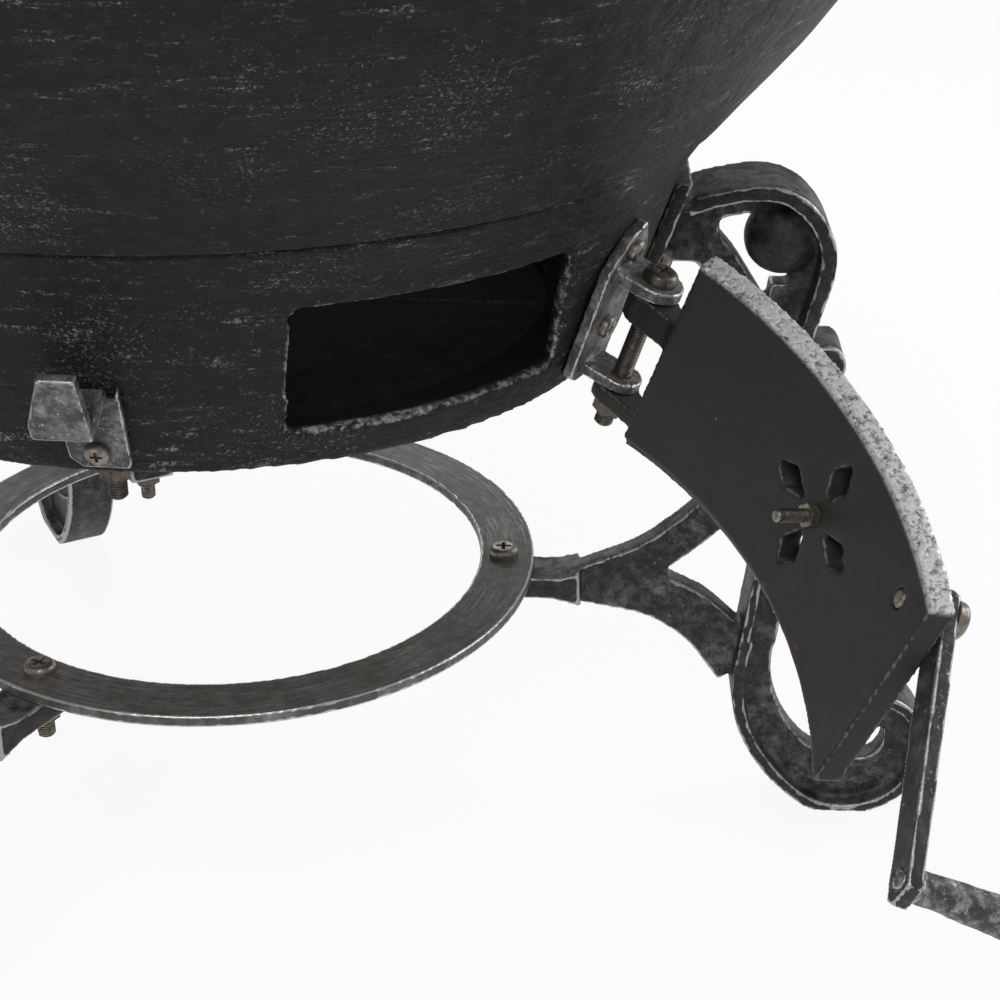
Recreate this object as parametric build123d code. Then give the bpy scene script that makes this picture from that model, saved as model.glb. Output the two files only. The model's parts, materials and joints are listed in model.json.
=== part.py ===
from build123d import *
from math import sin, cos, tan, atan, degrees, radians, hypot
from copy import copy
import os

# Cast iron fire pit, door standing open. Millimetres, +Z up.
# Drawn about the bowl's own axis, with the floor at 0, and moved at the end so
# that the origin is under the middle of the whole box. The front, -Y, looks
# between the two front legs. Azimuths are degrees about +Z from +X.

# Stand
foot_ring_top = 117.0
foot_ring_radius = 125.0
foot_ring_width = 22.0
foot_ring_thickness = 4.8
ring_screw_circle = 112.5
leg_azimuths = (-30.0, -150.0, 90.0)
scroll_width = 32.0
spine_width = 24.0
strut_width = 20.0
web_thickness = 10.0
flange_thickness = 5.0
scroll_ball_radius = 14.5
foot_ball_radius = 11.5
foot_flat = 0.8
pad_width = 35.0
pad_thickness = 6.0
pad_height = 40.0
pad_screw_spread = 11.5

# Drum, the lower casting with the ash door
drum_base = 230.0
drum_base_radius = 156.5
drum_slope = 0.338
drum_cone_height = 68.0
drum_height = 86.0
drum_top_radius = 192.0
drum_wall = 5.2
drum_flange = 5.0
drum_flange_bore = 128.0
ledge_bore = 163.0
floor_plate_radius = 146.0
floor_plate_thickness = 4.0
floor_bolt_circle = 140.5
floor_bolt_azimuths = (-124.0, -4.0, 116.0)

# Fire bowl, the upper casting
bowl_wall = 6.0
bowl_step = 1.6
bowl_flange = 5.0
bowl_flange_bore = 155.0
bowl_rise = (15.0, 31.0, 56.0, 86.0, 116.0)
bowl_spread = (12.5, 26.0, 43.0, 59.0, 69.0)
rim_bead = 7.5
joint_bolt_circle = 172.5
joint_bolt_count = 6
grate_radius = 163.5
grate_rim = 13.0
grate_height = 9.0
grate_bar = 9.0
grate_pitch = 21.5

# Door opening and door
opening_azimuth = -84.3
opening_bottom = 244.0
opening_top = 291.0
opening_left_bottom = -50.0
opening_left_top = -54.7
opening_right_bottom = 50.0
opening_right_top = 44.5
opening_corner = 3.0
door_azimuths = (-118.6, -63.7)
door_bottom = 227.5
door_top = 298.0
door_end_lean = 28.5
door_foot_level = -75.0
door_foot_tilt = 5.0
door_lip_height = 5.5
door_lip_depth = 3.6
door_gap = 1.1
door_thickness = 7.4
door_open_angle = 86.5

# Hinge
hinge_azimuth = -58.3
hinge_ref_height = 247.0
hinge_offset = 16.4
hinge_plate_width = 25.0
hinge_plate_thickness = 4.0
hinge_plate_bottom = -14.0
hinge_plate_shoulder = 36.0
hinge_plate_peak = 47.0
upper_ear_top = 32.5
upper_ear_thickness = 4.5
lower_ear_top = -6.0
lower_ear_thickness = 4.0
ear_radius = 9.0
lower_ear_radius = 7.5
knuckle_radius = 8.0
upper_knuckle_height = 10.5
lower_knuckle_height = 6.0
knuckle_gap = 0.3
pin_length = 60.0
pin_clearance = 0.06

# Damper
damper_azimuth = -90.6
damper_height = 267.5
damper_radius = 27.0
damper_thickness = 2.5
damper_pad_radius = 29.0
damper_pad_rise = 3.4
slot_inner = 6.5
slot_outer = 22.5
slot_shoulder = 16.0
slot_half_width = 4.6
damper_turn = 18.0
damper_bolt_length = 26.0

# Latch
latch_azimuth = -119.0
latch_drop = 27.0
latch_off = 9.0
latch_pivot_x = 40.8
latch_pivot_y = 15.3
latch_bar_width = 10.5
latch_bar_thickness = 5.0
latch_bar_tail = 8.0
latch_bar_reach = 88.0
latch_hang = 11.0
latch_pad_radius = 8.0
latch_pin_diameter = 6.0
handle_length = 112.0
handle_root_diameter = 9.5
handle_tip_diameter = 12.5
handle_spigot = 6.0
handle_place = 81.0

# Catch
catch_azimuth = -123.2
catch_bottom = 234.6
catch_slot_bottom = 264.4
catch_plate_thickness = 3.0
catch_plate_width = 19.5
catch_shelf_thickness = 4.0
catch_slot_depth = 12.6
catch_lip_thickness = 4.0
catch_lip_height = 20.0
catch_lip_top_width = 11.0
catch_screw_low = 7.5
catch_screw_high = 23.0

# Fasteners
m6 = 6.0
m6_hole = 6.6
m6_head = 12.0
m6_head_height = 4.2
m6_nut_flats = 10.0
m6_nut_height = 5.0
m4 = 4.0
m4_hole = 4.5
m4_head = 8.0
m4_head_height = 2.9
m4_nut_flats = 7.0
m4_nut_height = 3.2
washer_thickness = 1.6
washer_diameter = 12.5
driver_recess = 0.45
thread_run_out = 8.0
nut_seat_gap = 0.3

tilt = degrees(atan(drum_slope))
drum_top = drum_base + drum_height
cone_top = drum_base + drum_cone_height
latch_height = door_top - latch_drop
cone_top_radius = drum_base_radius + drum_slope * drum_cone_height
bowl_base_radius = drum_top_radius + bowl_step
rim_height = drum_top + bowl_rise[-1]
rim_radius = bowl_base_radius + bowl_spread[-1]
wall_across = drum_wall / cos(radians(tilt))
ring_under = foot_ring_top - foot_ring_thickness
grate_seat = drum_top + bowl_flange


def wall_radius(z):
    """Outer radius of the drum's cone at a height."""
    return drum_base_radius + drum_slope * (z - drum_base)


def polar(azimuth, radius, z):
    a = radians(azimuth)
    return Vector(radius * cos(a), radius * sin(a), z)


def wall_frame(azimuth, z, off=0.0):
    """Plane on the drum's wall: x to the right, y up the slope, z outward."""
    a = radians(azimuth)
    t = radians(tilt)
    normal = Vector(cos(t) * cos(a), cos(t) * sin(a), -sin(t))
    right = Vector(-sin(a), cos(a), 0)
    return Plane(polar(azimuth, wall_radius(z), z) + normal * off, x_dir=right, z_dir=normal)


def upright(plane, x, y, z):
    """Plane across the slope of a wall frame: x to the right, y inward."""
    up = plane.y_dir
    return Plane(plane.from_local_coords(Vector(x, y, z)), x_dir=plane.x_dir, z_dir=up)


def rod(radius, start, end):
    """Cylinder along local z between two heights."""
    return Pos(0, 0, start) * Cylinder(radius, end - start, align=(Align.CENTER, Align.CENTER, Align.MIN))


def hex_nut(flats, height, bore):
    body = extrude(RegularPolygon(flats / 2, 6, major_radius=False), height)
    return body - rod(bore / 2, -1, height + 1)


def pan_screw(diameter, head, head_height, length):
    """Cross-recess pan head on z=0 rising to +z, shank down to -length."""
    dome = rod(head / 2, 0, head_height)
    dome = fillet(dome.edges().sort_by(Axis.Z)[-1], head_height * 0.55)
    cross = Box(head * 0.5, head * 0.12, head_height, align=(Align.CENTER, Align.CENTER, Align.MIN))
    cross += Rot(0, 0, 90) * cross
    dome -= Pos(0, 0, head_height * (1 - driver_recess)) * cross
    shank = rod(diameter / 2, -length, 0)
    shank = chamfer(shank.edges().sort_by(Axis.Z)[0], diameter * 0.12)
    return dome + shank


def outline(points_a, points_b):
    """Face between two smooth curves that run the same way."""
    a = Spline(*[Vector(x, y, 0) for x, y in points_a])
    b = Spline(*[Vector(x, y, 0) for x, y in reversed(points_b)])
    return make_face([a, Line(a @ 1, b @ 0), b, Line(b @ 1, a @ 0)])


def offset_points(points, distance):
    """Points moved to the left of their own direction of travel."""
    out = []
    for i, (x, y) in enumerate(points):
        x0, y0 = points[max(i - 1, 0)]
        x1, y1 = points[min(i + 1, len(points) - 1)]
        d = distance[i] if isinstance(distance, (list, tuple)) else distance
        run = hypot(x1 - x0, y1 - y0)
        out.append((x - (y1 - y0) / run * d, y + (x1 - x0) / run * d))
    return out


def slab(face, width):
    """Leg shape drawn in radius and height, thickened across the leg."""
    return extrude(Plane.XZ * face, width / 2, both=True)


def strip(points, depth, width):
    return slab(outline(points, offset_points(points, depth)), width)


def band(points, half_widths, width):
    a = offset_points(points, half_widths)
    b = offset_points(points, [-h for h in half_widths])
    return slab(outline(a, b), width)


def kite():
    pts = [(slot_inner, 0), (slot_shoulder, slot_half_width), (slot_outer, 0.6)]
    pts += [(slot_outer, -0.6), (slot_shoulder, -slot_half_width)]
    return make_face(Polyline(*pts, close=True))


def kites(angle=0.0):
    face = kite()
    return Sketch() + [Rot(0, 0, angle + k * 90) * face for k in range(4)]


# Drum
def drum_profile():
    top_slope = (drum_top_radius - cone_top_radius) / (drum_height - drum_cone_height)
    inner = wall_across
    shoulder = drum_wall * hypot(1, top_slope)
    ledge_low = drum_top - drum_flange
    pts = [
        (drum_flange_bore, drum_base),
        (drum_base_radius, drum_base),
        (cone_top_radius, cone_top),
        (drum_top_radius, drum_top),
        (ledge_bore, drum_top),
        (ledge_bore, ledge_low),
        (cone_top_radius + top_slope * (ledge_low - cone_top) - shoulder, ledge_low),
        (cone_top_radius - inner, cone_top),
        (wall_radius(drum_base + drum_flange) - inner, drum_base + drum_flange),
        (drum_flange_bore, drum_base + drum_flange),
    ]
    return make_face(Polyline(*pts, close=True))


drum = revolve(Plane.XZ * drum_profile(), Axis.Z)

opening_pts = [
    (opening_left_bottom, opening_bottom),
    (opening_right_bottom, opening_bottom),
    (opening_right_top, opening_top),
    (opening_left_top, opening_top),
]
opening_face = make_face(Polyline(*opening_pts, close=True))
opening_face = fillet(opening_face.vertices(), opening_corner)
mouth = radians(opening_azimuth)
opening_plane = Plane(
    (0, 0, 0),
    x_dir=Vector(-sin(mouth), cos(mouth), 0),
    z_dir=Vector(cos(mouth), sin(mouth), 0),
)
opening_cut = extrude(opening_plane * opening_face, drum_top_radius + 20)
opening_cut -= rod(drum_flange_bore, 0, drum_top + 10)
drum -= opening_cut

# Hinge bracket, and the frame that it shares with the door
hinge_wall = wall_frame(hinge_azimuth, hinge_ref_height)
hinge_frame = wall_frame(hinge_azimuth, hinge_ref_height, hinge_offset)
hinge_axis = Axis(hinge_frame.origin, hinge_frame.y_dir)
half_plate = hinge_plate_width / 2
plate_pts = [
    (-half_plate, hinge_plate_bottom + 3),
    (-half_plate + 5, hinge_plate_bottom),
    (half_plate - 5, hinge_plate_bottom),
    (half_plate, hinge_plate_bottom + 3),
    (half_plate, hinge_plate_shoulder),
    (5, hinge_plate_peak),
    (-3, hinge_plate_peak - 3),
    (-half_plate, hinge_plate_shoulder - 4),
]
hinge_bracket = extrude(hinge_wall * make_face(Polyline(*plate_pts, close=True)), hinge_plate_thickness)


def hinge_slice(y):
    """Plane across the hinge pin at a height along it."""
    return upright(hinge_frame, 0, y, 0)


def ear(top, thickness, radius):
    reach = hinge_offset - hinge_plate_thickness / 2
    neck = make_face(Polyline((-radius, 0), (-radius, reach), (radius, reach), (radius, 0), close=True))
    shape = Circle(radius) + neck - Circle(m6 / 2 + pin_clearance)
    return extrude(hinge_slice(top - thickness) * shape, thickness)


hinge_bracket += ear(upper_ear_top, upper_ear_thickness, ear_radius)
hinge_bracket += ear(lower_ear_top, lower_ear_thickness, lower_ear_radius)

bracket_screw_heights = (7.0, hinge_plate_peak - 9.0)
bracket_screws = []
bracket_nuts = []
for height in bracket_screw_heights:
    seat = wall_frame(hinge_azimuth, hinge_ref_height).offset(0)
    place = Location(Plane(seat.from_local_coords(Vector(0, height, 0)), x_dir=seat.x_dir, z_dir=seat.z_dir))
    bore = place * rod(m4_hole / 2, -drum_wall * 3, hinge_plate_thickness * 2)
    drum -= bore
    hinge_bracket -= bore
    screw_length = hinge_plate_thickness + drum_wall + m4_nut_height + 2
    bracket_screws.append(place * Pos(0, 0, hinge_plate_thickness) * pan_screw(m4, m4_head, m4_head_height, screw_length))
    bracket_nuts.append(place * Pos(0, 0, -drum_wall - nut_seat_gap - m4_nut_height) * hex_nut(m4_nut_flats, m4_nut_height, m4))

upper_knuckle_top = upper_ear_top - upper_ear_thickness - knuckle_gap
lower_knuckle_top = lower_ear_top - lower_ear_thickness - knuckle_gap
hinge_nut_top = lower_knuckle_top - lower_knuckle_height - knuckle_gap
pin_plane = Plane(
    hinge_frame.from_local_coords(Vector(0, upper_ear_top, 0)),
    x_dir=hinge_frame.x_dir,
    z_dir=hinge_frame.y_dir,
)
hinge_pin = Location(pin_plane) * pan_screw(m6, m6_head, m6_head_height, pin_length)
hinge_nut = Location(hinge_slice(hinge_nut_top - m6_nut_height)) * hex_nut(m6_nut_flats, m6_nut_height, m6)

# Door, built shut against the wall and then swung open
door_in = door_gap / cos(radians(tilt))
door_out = door_in + door_thickness / cos(radians(tilt))
door_low = door_bottom - 12
door_pts = [
    (wall_radius(door_low) + door_in, door_low),
    (wall_radius(door_low) + door_out, door_low),
    (wall_radius(door_top) + door_out, door_top),
    (wall_radius(door_top) + door_in, door_top),
]
door_span = door_azimuths[1] - door_azimuths[0]
door_face = Plane.XZ * make_face(Polyline(*door_pts, close=True))
door = Rot(0, 0, door_azimuths[0]) * revolve(door_face, Axis.Z, door_span)

# The door's foot rises towards its free end and is bevelled inside
lip_top = door_bottom + door_lip_height
lip_pts = [
    (drum_flange_bore, door_low - 20),
    (drum_top_radius, door_low - 20),
    (drum_top_radius, door_bottom),
    (wall_radius(door_bottom) + door_in + door_lip_depth, door_bottom),
    (wall_radius(lip_top) + door_in, lip_top),
    (drum_flange_bore, lip_top),
]
lip_cut = Rot(0, 0, door_azimuths[0] - 8) * revolve(
    Plane.XZ * make_face(Polyline(*lip_pts, close=True)), Axis.Z, door_span + 16
)
level = radians(door_foot_level)
door -= lip_cut.rotate(Axis((0, 0, door_bottom), (cos(level), sin(level), 0)), -door_foot_tilt)

# Its free end leans in towards the top
free_end = wall_frame(door_azimuths[0], door_bottom)
door_slant = (door_top - door_bottom) / cos(radians(tilt))
lean_pts = [
    (-door_end_lean / 2, -door_slant / 2),
    (door_end_lean * 1.5, door_slant * 1.5),
    (-2 * door_end_lean, door_slant * 1.5),
    (-2 * door_end_lean, -door_slant / 2),
]
door -= extrude(free_end * make_face(Polyline(*lean_pts, close=True)), door_thickness * 4, both=True)


def knuckle(top, height):
    """Door lug on the hinge pin; x is negative towards the door."""
    inner = hinge_offset - door_gap
    outer = inner - door_thickness
    lug = make_face(
        Polyline(
            (0, -knuckle_radius),
            (-27, outer + 1.6),
            (-27, inner + 1.2),
            (-17.6, inner + 0.1),
            (-half_plate - 0.7, knuckle_radius + 2.9),
            (0, knuckle_radius),
            close=True,
        )
    )
    shape = Circle(knuckle_radius) + lug - Circle(m6 / 2 + pin_clearance)
    return extrude(hinge_slice(top - height) * shape, height)


door += knuckle(upper_knuckle_top, upper_knuckle_height)
door += knuckle(lower_knuckle_top, lower_knuckle_height)

# Damper rosette on the door's outer side
damper_frame = wall_frame(damper_azimuth, damper_height)
damper_seat = door_gap + door_thickness + damper_pad_rise - 2.4
damper_place = Location(damper_frame)
damper_boss = damper_place * rod(damper_pad_radius, door_gap + door_thickness / 2, damper_seat)
door += damper_boss
slot_cut = extrude(damper_frame * kites(), 60, both=True)
slot_cut -= rod(drum_base_radius * 0.6, 0, drum_top)
door -= slot_cut
door -= damper_place * rod(m4 / 2 + pin_clearance, -5, 40)

damper = damper_place * Pos(0, 0, damper_seat) * (
    rod(damper_radius, 0, damper_thickness)
    - extrude(kites(damper_turn), 20, both=True)
    - rod(m4 / 2 + pin_clearance, -1, 20)
)
tab_face = make_face(Polyline((damper_radius - 2, -5), (damper_radius + 6, -3), (damper_radius + 6, 3), (damper_radius - 2, 5), close=True))
tab_face = Rot(0, 0, damper_turn + 45) * tab_face
damper_tab = damper_place * Pos(0, 0, damper_seat) * extrude(tab_face, damper_thickness)
knob_spot = Rot(0, 0, damper_turn + 45) * Pos(damper_radius - 5, 0, 0)
damper += damper_tab
damper += damper_place * Pos(0, 0, damper_seat) * knob_spot * rod(3.5, damper_thickness / 2, damper_thickness + 9)
damper_bolt = damper_place * Pos(0, 0, damper_seat + damper_thickness) * pan_screw(m4, m4_head, m4_head_height, damper_bolt_length)
damper_nut = damper_place * Pos(0, 0, door_gap - nut_seat_gap - m4_nut_height) * hex_nut(m4_nut_flats, m4_nut_height, m4)

# Latch bar and handle on the door's free end
latch_frame = wall_frame(latch_azimuth, latch_height, latch_off)
pivot_place = Location(latch_frame) * Pos(latch_pivot_x, latch_pivot_y, 0)
latch_sag = wall_radius(latch_height) * (1 - cos(latch_pivot_x / wall_radius(latch_height)))
latch_boss = pivot_place * rod(latch_pad_radius, -latch_off + door_gap + door_thickness / 2 - latch_sag, 0)
door += latch_boss
door -= pivot_place * rod(latch_pin_diameter / 2, -20, 5)
latch_pin_reach = latch_off - door_gap + latch_sag - 0.3
latch_screw = pivot_place * Pos(0, 0, latch_bar_thickness) * pan_screw(
    latch_pin_diameter, m6_head, m6_head_height, latch_bar_thickness + latch_pin_reach
)
half_bar = latch_bar_width / 2
bar_pts = [
    (latch_bar_tail - 3, half_bar),
    (latch_bar_tail, half_bar - 3),
    (latch_bar_tail, -half_bar + 3),
    (latch_bar_tail - 3, -half_bar),
    (-latch_bar_reach + 2, -half_bar),
    (-latch_bar_reach, -half_bar + 3),
    (-latch_bar_reach + 4, half_bar),
]
bar_face = make_face(Polyline(*bar_pts, close=True)) - Circle(latch_pin_diameter / 2 + pin_clearance)
bar_face -= Pos(-handle_place, 0) * Circle(handle_spigot / 2)
latch_turn = pivot_place * Rot(0, 0, latch_hang)
latch_bar = latch_turn * extrude(bar_face, latch_bar_thickness)
handle_profile = [
    (0, 0),
    (handle_spigot / 2, 0),
    (handle_spigot / 2, latch_bar_thickness),
    (handle_root_diameter / 2, latch_bar_thickness),
    (handle_tip_diameter / 2, latch_bar_thickness + handle_length * 0.35),
    (handle_tip_diameter / 2, latch_bar_thickness + handle_length - 4),
    (handle_tip_diameter / 2 - 3, latch_bar_thickness + handle_length),
    (0, latch_bar_thickness + handle_length),
]
handle = revolve(Plane.XZ * make_face(Polyline(*handle_profile, close=True)), Axis.Z)
handle = latch_turn * Pos(-handle_place, 0, 0) * handle

# Catch on the drum
catch_rise = 1 / cos(radians(tilt))
catch_frame = wall_frame(catch_azimuth, catch_bottom)
slot_y = (catch_slot_bottom - catch_bottom) * catch_rise
half_catch = catch_plate_width / 2
catch_pts = [
    (-half_catch + 4, 0),
    (half_catch - 1, 0),
    (half_catch, 2),
    (half_catch + 0.5, slot_y + 3),
    (half_catch - 1.5, slot_y - 3),
    (half_catch - 4.5, slot_y - catch_shelf_thickness),
    (-half_catch + 1.5, slot_y - catch_shelf_thickness),
    (-half_catch, slot_y - 8),
    (-half_catch, 4),
]
catch = extrude(catch_frame * make_face(Polyline(*catch_pts, close=True)), catch_plate_thickness)
lip_in = catch_plate_thickness + catch_slot_depth
lip_out = lip_in + catch_lip_thickness
hook_pts = [
    (0, slot_y - catch_shelf_thickness),
    (lip_out, slot_y - catch_shelf_thickness),
    (lip_out, slot_y + catch_lip_height),
    (lip_in, slot_y + catch_lip_height),
    (lip_in, slot_y),
    (0, slot_y),
]
hook_plane = Plane(
    catch_frame.from_local_coords(Vector(-half_catch - 3, 0, 0)),
    x_dir=catch_frame.z_dir,
    z_dir=catch_frame.x_dir * -1,
)
hook_side = Plane(hook_plane.origin, x_dir=catch_frame.z_dir, z_dir=catch_frame.z_dir.cross(catch_frame.y_dir))
hook = extrude(hook_side * make_face(Polyline(*hook_pts, close=True)), -(catch_plate_width + 3))
trim_pts = [
    (-half_catch - 3, slot_y - 9),
    (half_catch - 3.5, slot_y - 9),
    (half_catch - 5.5, slot_y + catch_lip_height + 1),
    (half_catch - 5.5 - catch_lip_top_width, slot_y + catch_lip_height + 1),
    (-half_catch - 3, slot_y + 2),
]
hook &= extrude(catch_frame * make_face(Polyline(*trim_pts, close=True)), lip_out + 5)
catch += hook
catch_screws = []
catch_nuts = []
for height in (catch_screw_low, catch_screw_high):
    spot = catch_frame.from_local_coords(Vector(0, height, 0))
    place = Location(Plane(spot, x_dir=catch_frame.x_dir, z_dir=catch_frame.z_dir))
    bore = place * rod(m4_hole / 2, -drum_wall * 3, catch_plate_thickness * 2)
    drum -= bore
    catch -= bore
    screw_length = catch_plate_thickness + drum_wall + m4_nut_height + 1.5
    catch_screws.append(place * Pos(0, 0, catch_plate_thickness) * pan_screw(m4, m4_head, m4_head_height, screw_length))
    catch_nuts.append(place * Pos(0, 0, -drum_wall - nut_seat_gap - m4_nut_height) * hex_nut(m4_nut_flats, m4_nut_height, m4))

# Leg, drawn in radius and height and then turned to each azimuth
block_low = 102.0
scroll_outer = [
    (178, 275), (185, 278), (193, 280), (200, 281.5), (208, 282), (216, 280.5), (224, 276),
    (231, 268), (235.5, 257), (235.5, 247), (233, 235), (230, 223), (228.5, 213),
]
strut_top = [
    (103, ring_under), (114, ring_under), (126, ring_under - 1), (144, 114), (153, 118), (168, 125),
    (176, 131), (185, 139), (196, 150), (208, 163), (220, 178),
]
strut_low = [(103, 102), (114, 102), (128, 102), (145, 98), (161, 95), (178, 90), (187, 85), (195, 79.5), (203, 70), (211, 56)]
spine_line = [(221, 240), (220.5, 220), (223, 198), (225.5, 172), (225.5, 146), (223.5, 121), (221, 98), (219, 80)]
foot_line = [
    (219.5, 84), (218, 64), (222, 46), (229.5, 32), (240, 20.5), (253, 13), (267, 12), (279, 18),
    (285, 29), (284, 42), (276, 51), (267, 52),
]
foot_line = [(x, z - foot_flat) for x, z in foot_line]
foot_half = [7.5, 8.5, 9.5, 10, 11, 12.9, 12.2, 10.5, 9.3, 8.5, 8, 7]
spur_line = [(243, 205), (243.5, 211), (240, 216.5), (231, 216), (225, 212)]
inner_branch = [(176, 262), (188, 254), (198, 241), (207, 227), (218, 214)]
lower_arm = [(172, 103), (180, 99.5), (189, 94.5), (197, 88), (205, 79), (213, 68)]
lower_arm_half = [10, 10, 10.5, 10.5, 11, 11]


leg = strip(scroll_outer, -14.0, web_thickness)
leg += strip(scroll_outer, -flange_thickness - 1, scroll_width)
leg += Pos(216.5, 0, 258) * Sphere(scroll_ball_radius)
leg += band(spine_line, [8.0] * len(spine_line), web_thickness)
leg += band(foot_line, foot_half, web_thickness)
leg += slab(outline(strut_top[:7], strut_low[:7]), web_thickness)
leg += slab(outline(strut_top[:4], strut_low[:4]), strut_width)
leg += strip(strut_top[3:], -15.0, web_thickness)
leg += strip(strut_top[2:], -flange_thickness, strut_width)
leg += band(lower_arm, lower_arm_half, web_thickness)
leg += band(inner_branch, [7.0] * len(inner_branch), web_thickness)
foot_rim = offset_points(foot_line, [-h for h in foot_half])
foot_rim_inner = offset_points(foot_line, [flange_thickness - h for h in foot_half])
leg += slab(outline(foot_rim, foot_rim_inner), spine_width)
spine_rim = offset_points(spine_line[3:], -8.0)
spine_rim_inner = offset_points(spine_line[3:], flange_thickness - 9.0)
leg += slab(outline(spine_rim, spine_rim_inner), spine_width)
leg += strip(spur_line, flange_thickness, spine_width)
spur_fill = make_face(Polyline((243, 206), (241, 215), (226, 215), (216, 205), (220, 192), (233, 192), close=True))
leg += slab(spur_fill, web_thickness)
outer_back = [(243, 208), (238, 198), (234.5, 180), (233.8, 150), (231.5, 122), (228.5, 98)]
leg += strip(outer_back, -flange_thickness, spine_width)
leg += Pos(265, 0, 46 - foot_flat) * Sphere(foot_ball_radius)
pad_mid = 264.0
pad_run = pad_height * cos(radians(tilt))
pad_low = pad_mid - pad_run / 2
pad_high = pad_mid + pad_run / 2
skin = pad_thickness / cos(radians(tilt))
pad_face = make_face(
    Polyline(
        (wall_radius(pad_low), pad_low),
        (wall_radius(pad_low) + skin, pad_low),
        (wall_radius(pad_high) + skin, pad_high),
        (wall_radius(pad_high), pad_high),
        close=True,
    )
)
leg += slab(pad_face, pad_width)
lug_face = make_face(
    Polyline(
        (wall_radius(248), 248),
        (188, 248),
        (193, 256),
        (192, 265),
        (198, 272),
        (196, 279),
        (180, 275.5),
        (wall_radius(pad_high - 3), pad_high - 3),
        close=True,
    )
)
leg += slab(lug_face, web_thickness)
keep = Pos(200, 0, 0) * Box(400, 60, 400, align=(Align.CENTER, Align.CENTER, Align.MIN))
leg = leg & keep
leg -= rod(foot_ring_radius + 0.4, ring_under, foot_ring_top + 5)
leg -= Pos(ring_screw_circle, 0, 0) * rod(m6_hole / 2, 60, 150)
leg -= Pos(ring_screw_circle, 0, 0) * rod(m6_nut_flats, block_low - 20, block_low)

ring = rod(foot_ring_radius, ring_under, foot_ring_top) - rod(foot_ring_radius - foot_ring_width, 0, 200)
seat_top = ring_under
ring_screws = []
ring_nuts = []
pad_screws = []
pad_nuts = []
legs = []
pad_screw_height = pad_low + 9.0
pad_sides = (-pad_screw_spread, pad_screw_spread)
pad_spots = [wall_frame(0, pad_screw_height).from_local_coords(Vector(side, 0, 0)) for side in pad_sides]
pad_base = wall_frame(0, pad_screw_height)
pad_places = [Location(Plane(spot, x_dir=pad_base.x_dir, z_dir=pad_base.z_dir)) for spot in pad_spots]
pad_bores = [place * rod(m6_hole / 2, -drum_wall * 3, pad_thickness * 2) for place in pad_places]
for bore in pad_bores:
    leg -= bore
pad_screw = pan_screw(m6, m6_head, m6_head_height, pad_thickness + drum_wall + nut_seat_gap + m6_nut_height + 3)
pad_nut = hex_nut(m6_nut_flats, m6_nut_height, m6)
ring_screw = pan_screw(m6, m6_head, m6_head_height, foot_ring_top - block_low + m6_nut_height + thread_run_out)
for azimuth in leg_azimuths:
    turn = Rot(0, 0, azimuth)
    spot = turn * Pos(ring_screw_circle, 0, 0)
    legs.append(turn * leg)
    ring -= spot * rod(m6_hole / 2, 60, 150)
    ring_screws.append(spot * Pos(0, 0, foot_ring_top) * ring_screw)
    ring_nuts.append(spot * Pos(0, 0, block_low - m6_nut_height) * hex_nut(m6_nut_flats, m6_nut_height, m6))
    for bore, place in zip(pad_bores, pad_places):
        drum -= turn * bore
        pad_screws.append(turn * place * Pos(0, 0, pad_thickness) * pad_screw)
        pad_nuts.append(turn * place * Pos(0, 0, -drum_wall - 2 * nut_seat_gap - 0.4 - m6_nut_height) * pad_nut)

# Ash floor under the drum
ash_floor = rod(floor_plate_radius, drum_base - floor_plate_thickness, drum_base)
floor_bolts = []
floor_nuts = []
nut_seat = drum_base - floor_plate_thickness
for azimuth in floor_bolt_azimuths:
    spot = Pos(*polar(azimuth, floor_bolt_circle, 0))
    bore = spot * rod(m6_hole / 2, nut_seat - 5, drum_base + drum_flange + 5)
    drum -= bore
    ash_floor -= bore
    stack = drum_flange + floor_plate_thickness + m6_nut_height + thread_run_out
    floor_bolts.append(spot * Pos(0, 0, drum_base + drum_flange) * pan_screw(m6, m6_head, m6_head_height, stack))
    floor_nuts.append(spot * Pos(0, 0, nut_seat - m6_nut_height) * hex_nut(m6_nut_flats, m6_nut_height, m6))

# Fire bowl
bowl_outer = [(bowl_base_radius, drum_top)]
bowl_outer += [(bowl_base_radius + s, drum_top + r) for r, s in zip(bowl_rise, bowl_spread)]
bowl_inner = offset_points(bowl_outer, bowl_wall)
flange_top = drum_top + bowl_flange
lower_inner = bowl_inner[0]
bowl_curve = Spline(*bowl_outer)
inner_pts = [(bowl_inner[0][0] + 2.2, flange_top)] + bowl_inner[1:]
inner_curve = Spline(*inner_pts)
bowl_loop = [
    Line((bowl_flange_bore, drum_top), bowl_outer[0]),
    bowl_curve,
    Line(bowl_outer[-1], inner_pts[-1]),
    inner_curve,
    Line(inner_pts[0], (bowl_flange_bore, flange_top)),
    Line((bowl_flange_bore, flange_top), (bowl_flange_bore, drum_top)),
]
fire_bowl = revolve(Plane.XZ * make_face(bowl_loop), Axis.Z)
bead_centre = (rim_radius + rim_bead * 0.35, rim_height)
fire_bowl += revolve(Plane.XZ * (Pos(*bead_centre) * Circle(rim_bead)), Axis.Z)
joint_bolts = []
joint_nuts = []
for k in range(joint_bolt_count):
    spot = Pos(*polar(k * 360 / joint_bolt_count, joint_bolt_circle, 0))
    bore = spot * rod(m6_hole / 2, drum_top - 20, flange_top + 10)
    drum -= bore
    fire_bowl -= bore
    stack = bowl_flange + drum_flange + m6_nut_height + 3
    joint_bolts.append(spot * Pos(0, 0, flange_top) * pan_screw(m6, m6_head, m6_head_height, stack))
    joint_nuts.append(spot * Pos(0, 0, drum_top - drum_flange - m6_nut_height) * hex_nut(m6_nut_flats, m6_nut_height, m6))

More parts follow.
